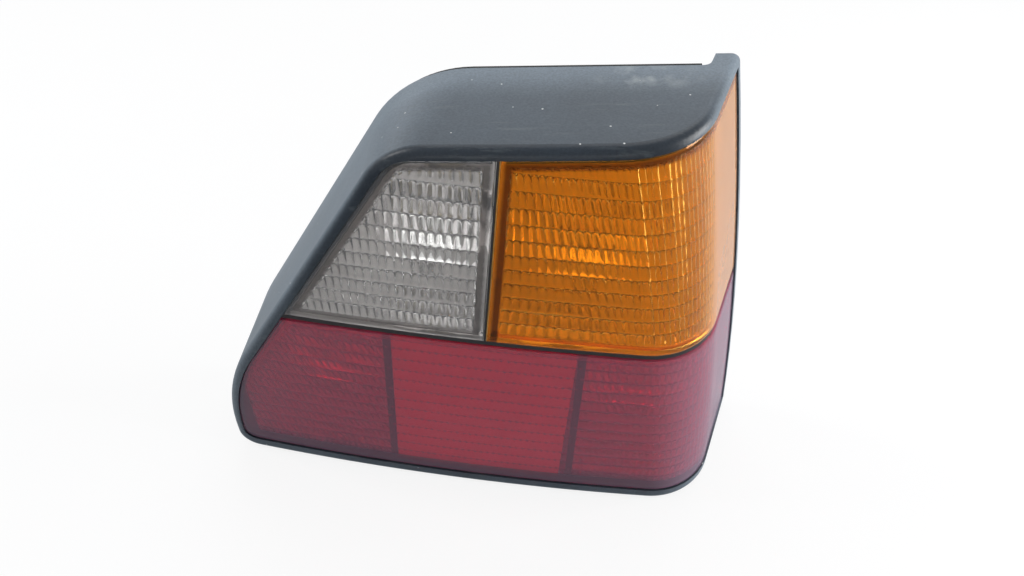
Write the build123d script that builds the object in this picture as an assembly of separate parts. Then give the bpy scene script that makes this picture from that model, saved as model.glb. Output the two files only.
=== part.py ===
from build123d import *
import math
import os

os.makedirs("parts", exist_ok=True)

# Tail light cluster for the car's right rear corner, in mm. While it is modelled, +X points to the
# car's outer side, the lens looks along -Y, and its foot is a few mm above z = 0, the housing's below.

# Front surface, given by its plan curve at the foot and how that curve moves with height
FRONT_RADIUS = 1500.0        # slight bow of the front in plan
FRONT_BOW_LEAD = 30.0        # the bow's crown lies this far inboard of the corner
FRONT_RAKE = 0.029           # the front leans back by this much per mm of height
CORNER_X = 96.5              # where the corner starts, at the foot
CORNER_LEAN = 0.264          # the corner leans inboard by this much per mm of height
CORNER_BULGE = 5.5           # and bows outboard by this much at half height
CORNER_RADIUS = 39.5
SIDE_ANGLE = 69.0            # how far the corner turns, in degrees, before the straight side
INBOARD_REACH = -170.0       # the plan curve runs past the inboard edge to here
REAR_REACH = 130.0           # and past the rear edge to here
LOFT_FOOT = -12.0
LOFT_HEAD = 262.0
LOFT_MIDDLE = (LOFT_FOOT + LOFT_HEAD) / 2

# Outline of the lens field seen from the rear of the car
LENS_FOOT_Z = 4.5
INBOARD_X = -124.0
INBOARD_BEND_Z = 46.5        # the upright inboard edge bends into the slanted one here
SLANT_TOP_X = -35.0
SLANT_TOP_Z = 202.4
TOP_RISE = 0.12              # the top edge rises outboard by this much per mm
OUTBOARD_REACH = 165.0
FOOT_CORNER_R = 7.0
BEND_R = 130.0
TOP_CORNER_R = 16.0
SHELF_CORNER_R = 26.0        # the same corner on the housing, at the front
REAR_CORNER_R = 52.0         # and at the rear

# Rim and housing shell
RIM_WIDTH = 4.5
RIM_FOOT = 4.0               # the rim is this much wider along the foot
RIM_ROUND = 4.0
BLOCK_FRONT_Y = -3.0         # the housing's block starts clear in front of the lens field
WALL = 2.6
SHELF_REAR_Y = 62.0
BACK_WALL = 3.0
EAR_REAR_Y = 71.0
EAR_WALL = 2.2
EAR_ROOT_R = 4.0
LEDGE_DEPTH = 3.0
LEDGE_WIDTH = 2.4

# Lenses
LENS_SET_BACK = 0.7          # lens face below the rim's crest
LENS_WALL = 2.4
SKIRT_DEPTH = 6.0
SKIRT_WALL = 2.2
LENS_CLEARANCE = 0.3
LENS_END_Y = 67.5
DIVIDER_Z = 111.6            # middle of the gap between upper and lower lenses
DIVIDER_GAP = 4.0
UPRIGHT_X = 2.5              # middle of the gap between reverse and indicator lenses
UPRIGHT_GAP = 1.8
FLUTE_PITCH = 7.6
FLUTE_WIDTH = 0.9
FLUTE_DEPTH = 0.6
FLUTE_MARGIN = 6.0

# Chamber frame: black walls between the lamp chambers
FRAME_WALL = 2.4
UPRIGHT_WALL = 1.0
FRAME_FRONT_SET_BACK = 1.6   # frame edge in the lens gaps, below the rim's crest
BAR_WALL = 3.6
BAR_LEFT_X = -41.0
BAR_RIGHT_HEAD_X = 46.0
BAR_RIGHT_FOOT_X = 53.0
FIT_CLEARANCE = 0.3

# Reflector panel
PANEL_FRONT_Y = 46.0
PANEL_WALL = 1.8
LINER_WALL = 1.2             # wall round the chambers, in one piece with the panel
BOWL_RADIUS = 24.0
BOWL_DEPTH = 7.0
BULB_HOLE_R = 9.0
PANEL_POSTS = ((-108.0, 24.0), (-108.0, 48.0), (8.0, 18.0), (112.0, 18.0), (82.0, 150.0), (12.0, 186.0))
PANEL_POST_R = 4.0

# Reflex reflector in the middle red bay
REFLEX_WALL = 3.0
REFLEX_GAP = 0.4
REFLEX_MARGIN = 4.0
REFLEX_RIDGE_PITCH = 6.0
REFLEX_RIDGE = 1.2

# Bulb places (x, z) on the carrier
REVERSE_XZ = (-22.0, 148.0)
INDICATOR_XZ = (44.0, 148.0)
FOG_XZ = (-74.0, 58.0)
STOP_TAIL_XZ = (80.0, 58.0)

# Bulb, bayonet base of 15 mm
GLOBE_R = 12.5
GLOBE_FRONT_Y = 17.0
NECK_R = 7.0
NECK_FRONT_Y = 40.0
GLASS_REAR_Y = 48.0
BASE_R = 7.5
LUG_R = 1.0                  # the two bayonet pins
LUG_REACH = 1.6
LUG_Y = 60.0
TIP_R = 2.6
TIP_LENGTH = 1.4
STEM_R = 3.0
STEM_FRONT_Y = 38.0
GLASS_WALL = 0.8
POST_R = 0.5
POST_SPREAD = 3.5
POST_FOOT = 0.5              # the posts' feet stand at this share of their spread
FILAMENT_Y = (27.0, 31.0)
FILAMENT_R = 0.7

# Lamp carrier behind the back wall
SEAL_THICK = 1.6
SEAL_WIDTH = 4.0
SEAL_MARGIN = 1.0
CARRIER_WALL = 2.6
CARRIER_LAP = 6.0            # how far the carrier laps over the back wall's opening
OPENING = ((-100.0, 32.0), (104.0, 32.0), (78.0, 164.0), (-36.0, 164.0), (-100.0, 56.0))
OPENING_R = 10.0
SOCKET_WALL = 2.6
SOCKET_FRONT_Y = 56.5
SOCKET_CLEARANCE = 0.7
LUG_GROOVE = 0.4
HOOK_WIDTH = 10.0
HOOK_WALL = 2.6
HOOK_LIP = 2.4
HOOK_FOOT_X = (-62.0, 20.0)
HOOK_HEAD_X = (2.0, 38.0)
CONNECTOR_X = 8.0
CONNECTOR_Z = 104.0
CONNECTOR_LENGTH = 42.0
CONNECTOR_HEIGHT = 20.0
CONNECTOR_WALL = 1.8
CONNECTOR_DEPTH = 15.0
PIN_PITCH = 5.0
PIN_WIDTH = 2.8
PIN_THICK = 0.8
PIN_LENGTH = 11.0
STRIP_THICK = 0.5
STRIP_WIDTH = 3.0
STRIP_TURN = 20.0
CONTACT_SPREAD = 3.5

# Studs, pressed into the back wall
STUD_R = 3.0
STUD_X = (-22.0, 58.0)
STUD_Z = (15.0, 182.0)
STUD_REAR_Y = 88.0
STUD_HEAD_R = 5.5
STUD_HEAD = 2.4
STUD_COLLAR_R = 3.4          # knurled collar, pressed into the wall and its boss
BOSS_R = 7.5
BOSS_RISE = 3.0

# Gasket round the back wall
GASKET_INSET = 2.0
GASKET_WIDTH = 4.0
GASKET_THICK = 5.0


def section(z, inset):
    """Plan face of the lamp's body at height z, its front moved in by inset."""
    off_middle = (z - LOFT_MIDDLE) / (LOFT_HEAD - LOFT_MIDDLE)
    corner_x = CORNER_X - CORNER_LEAN * z + CORNER_BULGE * (1 - off_middle ** 2)
    crown_x = corner_x - FRONT_BOW_LEAD
    centre_y = FRONT_RAKE * z + FRONT_RADIUS
    lead = math.asin(FRONT_BOW_LEAD / FRONT_RADIUS)
    turn = math.radians(SIDE_ANGLE)
    bow = FRONT_RADIUS - inset
    round_r = CORNER_RADIUS - inset
    round_x = crown_x + (FRONT_RADIUS - CORNER_RADIUS) * math.sin(lead)
    round_y = centre_y - (FRONT_RADIUS - CORNER_RADIUS) * math.cos(lead)

    def on_bow(angle):
        return (crown_x + bow * math.sin(angle), centre_y - bow * math.cos(angle))

    def on_round(angle):
        return (round_x + round_r * math.sin(angle), round_y - round_r * math.cos(angle))

    far = -math.asin((crown_x - INBOARD_REACH) / bow)
    side_start = on_round(turn)
    side_run = (REAR_REACH - side_start[1]) / math.sin(turn)
    side_end = (side_start[0] + side_run * math.cos(turn), REAR_REACH)
    front = ThreePointArc(on_bow(far), on_bow((far + lead) / 2), on_bow(lead))
    corner = ThreePointArc(on_bow(lead), on_round((lead + turn) / 2), side_start)
    closing = Polyline(side_start, side_end, (INBOARD_REACH, REAR_REACH), on_bow(far))
    return Pos(0, 0, z) * make_face(front + corner + closing)


def body(inset):
    """Everything behind the front surface moved in by inset."""
    return loft([section(z, inset) for z in (LOFT_FOOT, LOFT_MIDDLE, LOFT_HEAD)])


def outline(grow, corner_r, foot_drop=0.0):
    """Lens field outline grown by grow, as a face seen along Y, its top corner rounded by corner_r."""
    top_z = SLANT_TOP_Z + TOP_RISE * (OUTBOARD_REACH - SLANT_TOP_X)
    foot_z = LENS_FOOT_Z - foot_drop
    foot_in = (INBOARD_X, foot_z)
    bend = (INBOARD_X, INBOARD_BEND_Z)
    slant_top = (SLANT_TOP_X, SLANT_TOP_Z)
    shape = make_face(Polyline(
        foot_in, bend, slant_top, (OUTBOARD_REACH, top_z), (OUTBOARD_REACH, foot_z), foot_in))
    for place, radius in ((foot_in, FOOT_CORNER_R), (bend, BEND_R), (slant_top, corner_r - grow)):
        corner = shape.vertices().sort_by_distance(Vector(place[0], place[1], 0))[0]
        shape = fillet(corner, radius)
    return offset(shape, grow) if grow else shape


def along_y(face, start, end):
    """Face drawn in (x, z), made solid from y = start to y = end."""
    return Plane.XZ.offset(-start) * extrude(face, -(end - start))


def block(x0, x1, y0, y1, z0, z1):
    return Pos((x0 + x1) / 2, (y0 + y1) / 2, (z0 + z1) / 2) * Box(x1 - x0, y1 - y0, z1 - z0)


def round_bar(place, radius, start, end):
    """Round bar along Y at (x, z), from y = start to y = end."""
    return Pos(place[0], (start + end) / 2, place[1]) * Rot(90, 0, 0) * Cylinder(radius, end - start)


FAR = 400.0
FRONT_REACH = -40.0
FRONT_FACING = -0.2          # faces whose normal has less than this along Y look forward
made = {}


def behind(inset):
    """The body at this inset, made once."""
    key = round(inset, 4)
    if key not in made:
        made[key] = body(key)
    return made[key]


def layer(outer, inner):
    """Skin of the body between two insets."""
    return behind(outer) - behind(inner)


def rect(x0, x1, z0, z1):
    """Rectangle in (x, z)."""
    return make_face(Polyline((x0, z0), (x1, z0), (x1, z1), (x0, z1), (x0, z0)))


lens_back = LENS_SET_BACK + LENS_WALL
skirt_back = LENS_SET_BACK + SKIRT_DEPTH
ledge_back = skirt_back + LEDGE_DEPTH
ear_inner = skirt_back + EAR_WALL
back_wall_y = SHELF_REAR_Y - BACK_WALL
carrier_front = SHELF_REAR_Y + SEAL_THICK
carrier_rear = carrier_front + CARRIER_WALL
bulb_places = (REVERSE_XZ, INDICATOR_XZ, FOG_XZ, STOP_TAIL_XZ)

field = outline(0, TOP_CORNER_R)
pocket_outline = outline(LENS_CLEARANCE, TOP_CORNER_R + LENS_CLEARANCE)
ledge_outline = outline(-LEDGE_WIDTH, TOP_CORNER_R - LEDGE_WIDTH)
insert_outline = outline(-LEDGE_WIDTH - FIT_CLEARANCE, TOP_CORNER_R - LEDGE_WIDTH - FIT_CLEARANCE)
shell_outline = outline(RIM_WIDTH - WALL, REAR_CORNER_R - WALL, RIM_FOOT)
opening = make_face(Polyline(*OPENING, OPENING[0]))
opening = fillet(opening.vertices(), OPENING_R)
carrier_outline = offset(opening, CARRIER_LAP)
pieces = {}

# Housing: a block cut to the rim outline, its front edge rounded, then hollowed from both sides
corner_growth = (REAR_CORNER_R - SHELF_CORNER_R) / SHELF_REAR_Y
rim_ends = [Plane.XZ.offset(-y) * outline(RIM_WIDTH, SHELF_CORNER_R + corner_growth * y, RIM_FOOT)
            for y in (BLOCK_FRONT_Y, EAR_REAR_Y)]
housing = behind(0) & loft(rim_ends, ruled=True)
front_faces = [f for f in housing.faces() if f.normal_at().Y < FRONT_FACING]
side_faces = [f for f in housing.faces() if abs(f.normal_at().Y) < -FRONT_FACING]
front_edges = [e for f in front_faces for e in f.edges()]
side_edges = [e for f in side_faces for e in f.edges()]
rim_edges = [e for e in front_edges if any(e.is_same(other) for other in side_edges)]
housing = fillet(rim_edges, RIM_ROUND)
housing -= behind(ear_inner) & along_y(rect(-FAR, FAR, -FAR, FAR), SHELF_REAR_Y, FAR)
ear_roots = [e for e in housing.edges() if abs(e.center().Y - SHELF_REAR_Y) < LENS_CLEARANCE]
ear_roots = [e for e in ear_roots if e.center().X > CORNER_X / 2 and e.bounding_box().size.Z > DIVIDER_Z]
housing = fillet(ear_roots, EAR_ROOT_R)
housing -= along_y(pocket_outline, FRONT_REACH, LENS_END_Y + LENS_CLEARANCE) - behind(skirt_back)
housing -= along_y(ledge_outline, FRONT_REACH, back_wall_y)
housing -= along_y(shell_outline, FRONT_REACH, back_wall_y) & behind(ledge_back)
housing -= along_y(opening, back_wall_y, SHELF_REAR_Y)
stud_places = [(x, z) for x in STUD_X for z in STUD_Z]
for place in stud_places:
    housing += round_bar(place, BOSS_R, SHELF_REAR_Y, SHELF_REAR_Y + BOSS_RISE)
carrier_box = carrier_outline.bounding_box()
hook_rows = [(x, carrier_box.min.Y, -1) for x in HOOK_FOOT_X] + [(x, carrier_box.max.Y, 1) for x in HOOK_HEAD_X]
for x, edge_z, out in hook_rows:
    near = edge_z + out * FIT_CLEARANCE
    far = near + out * HOOK_WALL
    lip = edge_z - out * HOOK_LIP
    lip_front = carrier_rear + FIT_CLEARANCE
    post_z = sorted((near, far))
    lip_z = sorted((lip, far))
    half = HOOK_WIDTH / 2
    housing += block(x - half, x + half, SHELF_REAR_Y, lip_front + HOOK_WALL, *post_z)
    housing += block(x - half, x + half, lip_front, lip_front + HOOK_WALL, *lip_z)
for place in stud_places:
    housing -= round_bar(place, STUD_COLLAR_R, back_wall_y, SHELF_REAR_Y + BOSS_RISE)
pieces["housing"] = housing

# Studs: round heads inside the back wall, collars in the bosses, shanks out to the car's panel
studs = Part()
for place in stud_places:
    studs += round_bar(place, STUD_R, SHELF_REAR_Y + BOSS_RISE, STUD_REAR_Y)
    studs += round_bar(place, STUD_COLLAR_R, back_wall_y, SHELF_REAR_Y + BOSS_RISE)
    studs += round_bar(place, STUD_HEAD_R, back_wall_y - STUD_HEAD, back_wall_y)
pieces["mounting_studs"] = studs

# Gasket: one closed loop of foam rubber on the back wall, inside the ear on the outer side
gasket_inset = RIM_WIDTH - GASKET_INSET
gasket_corner_r = REAR_CORNER_R - GASKET_INSET
gasket_outer = outline(gasket_inset, gasket_corner_r, RIM_FOOT)
gasket_inner = outline(gasket_inset - GASKET_WIDTH, gasket_corner_r - GASKET_WIDTH, RIM_FOOT)
gasket_rear = SHELF_REAR_Y + GASKET_THICK
gasket_side = ear_inner + EAR_ROOT_R + FIT_CLEARANCE
gasket = along_y(gasket_outer - gasket_inner, SHELF_REAR_Y, gasket_rear) & behind(gasket_side)
gasket += along_y(gasket_outer, SHELF_REAR_Y, gasket_rear) & layer(gasket_side, gasket_side + GASKET_WIDTH)
pieces["housing_gasket"] = gasket


def lens(face):
    """Tray of one lens: curved face, skirt all round, flutes across the inner side."""
    reach = along_y(face, FRONT_REACH, LENS_END_Y)
    skin = layer(LENS_SET_BACK, lens_back) & reach
    rim = along_y(face - offset(face, -SKIRT_WALL), FRONT_REACH, LENS_END_Y)
    rim += along_y(face, LENS_END_Y - SKIRT_WALL, LENS_END_Y)
    shape = skin + (layer(LENS_SET_BACK, skirt_back) & rim)
    box = face.bounding_box()
    rows = int((box.max.Y - box.min.Y - 2 * FLUTE_MARGIN) / FLUTE_PITCH)
    inner = offset(face, -FLUTE_MARGIN)
    strips = [rect(-FAR, FAR, z, z + FLUTE_WIDTH) & inner
              for z in [box.min.Y + FLUTE_MARGIN + FLUTE_PITCH * (row + 1) for row in range(rows)]]
    groove = layer(lens_back - FLUTE_DEPTH, lens_back + FLUTE_DEPTH)
    return shape - [along_y(strip, FRONT_REACH, LENS_END_Y - FLUTE_MARGIN) & groove for strip in strips]


upper_foot = DIVIDER_Z + DIVIDER_GAP / 2
red_head = DIVIDER_Z - DIVIDER_GAP / 2
pieces["red_lens"] = lens(field & rect(-FAR, FAR, -FAR, red_head))
pieces["reverse_lens"] = lens(field & rect(-FAR, UPRIGHT_X - UPRIGHT_GAP / 2, upper_foot, FAR))
pieces["indicator_lens"] = lens(field & rect(UPRIGHT_X + UPRIGHT_GAP / 2, FAR, upper_foot, FAR))

# Chamber frame: thin walls up to the gaps between the lenses, thicker bars behind the red lens
half_wall = FRAME_WALL / 2
gap_walls = rect(-FAR, FAR, DIVIDER_Z - half_wall, DIVIDER_Z + half_wall)
gap_walls += rect(UPRIGHT_X - UPRIGHT_WALL / 2, UPRIGHT_X + UPRIGHT_WALL / 2, DIVIDER_Z, FAR)
bar_half = BAR_WALL / 2
bars = rect(BAR_LEFT_X - bar_half, BAR_LEFT_X + bar_half, 0, DIVIDER_Z)
bars += make_face(Polyline(
    (BAR_RIGHT_FOOT_X - bar_half, 0), (BAR_RIGHT_FOOT_X + bar_half, 0), (BAR_RIGHT_HEAD_X + bar_half, DIVIDER_Z),
    (BAR_RIGHT_HEAD_X - bar_half, DIVIDER_Z), (BAR_RIGHT_FOOT_X - bar_half, 0)))
frame_outline = offset(insert_outline, -LINER_WALL - FIT_CLEARANCE)
frame = along_y(gap_walls & frame_outline, FRONT_REACH, PANEL_FRONT_Y) & behind(FRAME_FRONT_SET_BACK)
frame += along_y(gap_walls & field, FRONT_REACH, LENS_END_Y) & layer(FRAME_FRONT_SET_BACK, skirt_back - FIT_CLEARANCE)
bar_front = skirt_back + FIT_CLEARANCE
frame += along_y(bars & frame_outline, FRONT_REACH, PANEL_FRONT_Y) & behind(bar_front)
clear_foot = LENS_FOOT_Z + SKIRT_WALL + FIT_CLEARANCE
clear_head = red_head - SKIRT_WALL - FIT_CLEARANCE
bar_noses = bars & rect(-FAR, FAR, clear_foot, clear_head)
frame += along_y(bar_noses, FRONT_REACH, PANEL_FRONT_Y) & layer(lens_back + FIT_CLEARANCE, bar_front)
pieces["chamber_frame"] = frame

# Reflector panel: flat plate with a bowl round each bulb and a wall round the chambers, on posts
panel_rear = PANEL_FRONT_Y + PANEL_WALL
bowl_sphere = (BOWL_RADIUS ** 2 + BOWL_DEPTH ** 2) / (2 * BOWL_DEPTH)
bowl_centre = PANEL_FRONT_Y + BOWL_DEPTH - bowl_sphere
panel = along_y(insert_outline, PANEL_FRONT_Y, panel_rear) & behind(skirt_back + EAR_WALL)
liner = insert_outline - offset(insert_outline, -LINER_WALL)
panel += along_y(liner, FRONT_REACH, panel_rear) & behind(bar_front + FIT_CLEARANCE)
rear_half = along_y(rect(-FAR, FAR, -FAR, FAR), PANEL_FRONT_Y, FAR)
for x, z in bulb_places:
    panel += Pos(x, bowl_centre, z) * Sphere(bowl_sphere + PANEL_WALL) & rear_half
for x, z in bulb_places:
    panel -= Pos(x, bowl_centre, z) * Sphere(bowl_sphere)
    panel -= round_bar((x, z), BULB_HOLE_R, PANEL_FRONT_Y, back_wall_y)
for place in PANEL_POSTS:
    panel += round_bar(place, PANEL_POST_R, panel_rear - PANEL_WALL / 2, back_wall_y)
pieces["reflector_panel"] = panel

# Reflex reflector: plate between the two bars, ridged on its rear face
reflex_front = lens_back + REFLEX_GAP
bay_foot = LENS_FOOT_Z + REFLEX_MARGIN
bay = make_face(Polyline(
    (BAR_LEFT_X + bar_half + FIT_CLEARANCE, bay_foot),
    (BAR_RIGHT_FOOT_X - bar_half - REFLEX_MARGIN, bay_foot),
    (BAR_RIGHT_HEAD_X - bar_half - FIT_CLEARANCE, clear_head),
    (BAR_LEFT_X + bar_half + FIT_CLEARANCE, clear_head),
    (BAR_LEFT_X + bar_half + FIT_CLEARANCE, bay_foot)))
reflex = layer(reflex_front, reflex_front + REFLEX_WALL) & along_y(bay, FRONT_REACH, PANEL_FRONT_Y)
valley_rows = int((clear_head - bay_foot - 2 * REFLEX_MARGIN) / REFLEX_RIDGE_PITCH)
valley_field = offset(bay, -REFLEX_MARGIN)
reflex_back = reflex_front + REFLEX_WALL
valley_skin = layer(reflex_back - REFLEX_RIDGE, reflex_back + REFLEX_RIDGE)
valleys = []
for row in range(valley_rows):
    z = bay_foot + REFLEX_MARGIN + REFLEX_RIDGE_PITCH * (row + 0.5)
    valley = rect(-FAR, FAR, z - REFLEX_RIDGE / 2, z + REFLEX_RIDGE / 2) & valley_field
    valleys.append(along_y(valley, FRONT_REACH, PANEL_FRONT_Y) & valley_skin)
reflex -= valleys
pieces["reflex_reflector"] = reflex

# Contact strips: flat brass paths on the carrier's rear face, each ending under its bulb
pin_x = [CONNECTOR_X + PIN_PITCH * step for step in (-3, -2, 0, 1, 2, 3)]


def strip(*path):
    """Flat strip along a path of (x, z) points."""
    flat = None
    half = STRIP_WIDTH / 2
    for (xa, za), (xb, zb) in zip(path, path[1:]):
        leg = rect(min(xa, xb) - half, max(xa, xb) + half, min(za, zb) - half, max(za, zb) + half)
        flat = leg if flat is None else flat + leg
    return along_y(flat, carrier_rear, carrier_rear + STRIP_THICK)


contact_reach = BASE_R + STRIP_WIDTH / 2
upper_turn_z = REVERSE_XZ[1] - STRIP_TURN
tail_x = STOP_TAIL_XZ[0] - CONTACT_SPREAD
stop_x = STOP_TAIL_XZ[0] + CONTACT_SPREAD
tail_turn_z = CONNECTOR_Z - STRIP_TURN
strips = {
    "fog_strip": strip((pin_x[0], CONNECTOR_Z), (FOG_XZ[0], CONNECTOR_Z), FOG_XZ),
    "reverse_strip": strip(
        (pin_x[1], CONNECTOR_Z), (pin_x[1], upper_turn_z), (REVERSE_XZ[0], upper_turn_z), REVERSE_XZ),
    "earth_strip": strip((pin_x[2], FOG_XZ[1]), (pin_x[2], REVERSE_XZ[1]))
    + strip((REVERSE_XZ[0] + contact_reach, REVERSE_XZ[1]), (INDICATOR_XZ[0] - contact_reach, INDICATOR_XZ[1]))
    + strip((FOG_XZ[0] + contact_reach, FOG_XZ[1]), (STOP_TAIL_XZ[0] - contact_reach, STOP_TAIL_XZ[1])),
    "indicator_strip": strip(
        (pin_x[3], CONNECTOR_Z), (pin_x[3], upper_turn_z), (INDICATOR_XZ[0], upper_turn_z), INDICATOR_XZ),
    "tail_strip": strip(
        (pin_x[4], CONNECTOR_Z), (pin_x[4], tail_turn_z), (tail_x, tail_turn_z), (tail_x, STOP_TAIL_XZ[1])),
    "stop_strip": strip((pin_x[5], CONNECTOR_Z), (stop_x, CONNECTOR_Z), (stop_x, STOP_TAIL_XZ[1])),
}
for place, side in ((REVERSE_XZ, 1), (INDICATOR_XZ, -1), (FOG_XZ, 1), (STOP_TAIL_XZ, -1)):
    tongue_x = sorted((place[0] + side * BASE_R, place[0] + side * (BASE_R + STRIP_THICK)))
    half = STRIP_WIDTH / 2
    strips["earth_strip"] += block(*tongue_x, SOCKET_FRONT_Y, carrier_rear, place[1] - half, place[1] + half)

# Lamp carrier: plate with four bayonet sockets and the connector's shroud
carrier = along_y(carrier_outline, carrier_front, carrier_rear)
bore_r = BASE_R + SOCKET_CLEARANCE
groove_r = BASE_R + LUG_REACH + LUG_GROOVE
for place in bulb_places:
    carrier += round_bar(place, bore_r + SOCKET_WALL, SOCKET_FRONT_Y, carrier_front)
shroud_rear = carrier_rear + CONNECTOR_DEPTH
shroud_half = (CONNECTOR_LENGTH / 2, CONNECTOR_HEIGHT / 2)
shroud = rect(CONNECTOR_X - shroud_half[0], CONNECTOR_X + shroud_half[0],
              CONNECTOR_Z - shroud_half[1], CONNECTOR_Z + shroud_half[1])
carrier += along_y(shroud - offset(shroud, -CONNECTOR_WALL), carrier_rear, shroud_rear)
for place in bulb_places:
    carrier -= round_bar(place, bore_r, SOCKET_FRONT_Y, carrier_rear)
    carrier -= round_bar(place, groove_r, LUG_Y - LUG_R - LUG_GROOVE, LUG_Y + LUG_R + LUG_GROOVE)
    slot_half = LUG_R + LUG_GROOVE
    carrier -= block(place[0] - slot_half, place[0] + slot_half, SOCKET_FRONT_Y, LUG_Y,
                     place[1] - groove_r, place[1] + groove_r)
for shape in strips.values():
    carrier -= shape
pieces["lamp_carrier"] = carrier
pieces.update(strips)

pin_foot = carrier_rear + STRIP_THICK
pin_z = (CONNECTOR_Z - PIN_WIDTH / 2, CONNECTOR_Z + PIN_WIDTH / 2)
pins = Part()
for x in pin_x:
    pins += block(x - PIN_THICK / 2, x + PIN_THICK / 2, pin_foot, pin_foot + PIN_LENGTH, *pin_z)
pieces["connector_pins"] = pins

# Seal between carrier and back wall
seal_outer = offset(opening, SEAL_WIDTH + SEAL_MARGIN)
seal_inner = offset(opening, SEAL_MARGIN)
pieces["carrier_seal"] = along_y(seal_outer - seal_inner, SHELF_REAR_Y, carrier_front)


def bulb(name, place, tips):
    """Bulb at (x, z): hollow glass, bayonet base with its lugs and tips, mount with filaments."""
    x, z = place
    globe_y = GLOBE_FRONT_Y + GLOBE_R
    hollow_r = GLOBE_R - GLASS_WALL
    neck_hollow = NECK_R - GLASS_WALL
    glass = Pos(x, globe_y, z) * Sphere(GLOBE_R) + round_bar(place, NECK_R, globe_y, GLASS_REAR_Y)
    glass -= Pos(x, globe_y, z) * Sphere(hollow_r)
    glass -= round_bar(place, neck_hollow, globe_y, GLASS_REAR_Y)
    pieces[name + "_bulb_glass"] = glass
    base_rear = carrier_rear - TIP_LENGTH
    base = round_bar(place, BASE_R, GLASS_REAR_Y, base_rear)
    base += Pos(x, LUG_Y, z) * Cylinder(LUG_R, 2 * (BASE_R + LUG_REACH))
    for tip in tips:
        base += round_bar((x + tip, z), TIP_R, base_rear, carrier_rear)
    pieces[name + "_bulb_base"] = base
    mount = round_bar(place, STEM_R, STEM_FRONT_Y, GLASS_REAR_Y)
    for reach in FILAMENT_Y[:len(tips)]:
        for side in (-POST_SPREAD, POST_SPREAD):
            foot = side * POST_FOOT
            lean = Line((foot, STEM_FRONT_Y + POST_R), (side, reach))
            mount += Pos(x, 0, z) * sweep(Plane(lean @ 0, z_dir=lean % 0) * Circle(POST_R), lean)
        mount += Pos(x, reach, z) * Rot(0, 90, 0) * Cylinder(FILAMENT_R, 2 * POST_SPREAD + 2 * POST_R)
    pieces[name + "_bulb_mount"] = mount


bulb("reverse", REVERSE_XZ, (0.0,))
bulb("indicator", INDICATOR_XZ, (0.0,))
bulb("fog", FOG_XZ, (0.0,))
bulb("stop_tail", STOP_TAIL_XZ, (-CONTACT_SPREAD, CONTACT_SPREAD))

# Origin: middle of the whole lamp in plan, at its foot
boxes = [shape.bounding_box() for shape in pieces.values()]
low = [min(tuple(box.min)[axis] for box in boxes) for axis in range(3)]
high = [max(tuple(box.max)[axis] for box in boxes) for axis in range(3)]
shift = Pos(-(low[0] + high[0]) / 2, -(low[1] + high[1]) / 2, -low[2])
for name, shape in pieces.items():
    export_step(shift * shape, "parts/" + name + ".step")
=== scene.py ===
import math

import bmesh
import bpy
import numpy as np
from mathutils import Matrix, Vector
from mathutils.geometry import delaunay_2d_cdt


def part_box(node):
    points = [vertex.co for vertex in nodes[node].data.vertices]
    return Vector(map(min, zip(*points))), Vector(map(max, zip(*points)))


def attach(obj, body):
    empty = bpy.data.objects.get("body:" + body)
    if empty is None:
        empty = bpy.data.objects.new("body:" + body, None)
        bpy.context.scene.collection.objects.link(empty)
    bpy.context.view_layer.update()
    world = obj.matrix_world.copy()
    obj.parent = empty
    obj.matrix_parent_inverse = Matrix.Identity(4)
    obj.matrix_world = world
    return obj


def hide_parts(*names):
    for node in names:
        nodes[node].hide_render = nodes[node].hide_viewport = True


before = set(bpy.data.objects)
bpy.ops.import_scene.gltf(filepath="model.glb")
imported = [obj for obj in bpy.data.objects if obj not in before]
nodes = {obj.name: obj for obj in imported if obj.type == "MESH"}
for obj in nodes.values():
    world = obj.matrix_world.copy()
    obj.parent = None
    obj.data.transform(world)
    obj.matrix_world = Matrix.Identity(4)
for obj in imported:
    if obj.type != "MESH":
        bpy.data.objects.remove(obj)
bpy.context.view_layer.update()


# Housing: one moulding of blue-grey ABS with a fine matt grain. A broad shelf on top, a rounded rim
# round the lenses, and an ear behind the outer end. Years of dust and handling have left it uneven.


def linear(code):
    """Linear colour from an sRGB hex value."""
    parts = [int(code[i:i + 2], 16) / 255 for i in (1, 3, 5)]
    return tuple(p / 12.92 if p <= 0.04045 else ((p + 0.055) / 1.055) ** 2.4 for p in parts) + (1.0,)


def add(tree, kind, inputs=None, **settings):
    """Adds a node. Each input gets a value, or a link when it is another node's output."""
    made = tree.nodes.new(kind)
    for key, value in settings.items():
        setattr(made, key, value)
    for key, value in (inputs or {}).items():
        if isinstance(value, bpy.types.NodeSocket):
            tree.links.new(value, made.inputs[key])
        else:
            made.inputs[key].default_value = value
    return made


def finish_named(name):
    """A new material: its node tree, its shader, and the piece's own coordinates in metres."""
    material = bpy.data.materials.new(name)
    material.use_nodes = True
    tree = material.node_tree
    shader = tree.nodes["Principled BSDF"]
    place = add(tree, "ShaderNodeTexCoord").outputs["Object"]
    return material, tree, shader, place


def dress(node, material):
    """Gives a CAD node its finish."""
    slots = nodes[node].data.materials
    slots.clear()
    slots.append(material)


def per_metre(size_mm):
    """Texture scale for a pattern whose features are this many mm across."""
    return 1000.0 / size_mm


# How far back the shelf ends, how far dust and painted sheen reach in from there, and where the worn
# patch lies, in mm
SHELF_REAR = 18.0
DUST_AND_SHEEN_REACH = 24.0
PATCH_AT = Vector((44.0, 11.0, 200.0))
PATCH_REACH = Vector((24.0, 12.0, 200.0))
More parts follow.
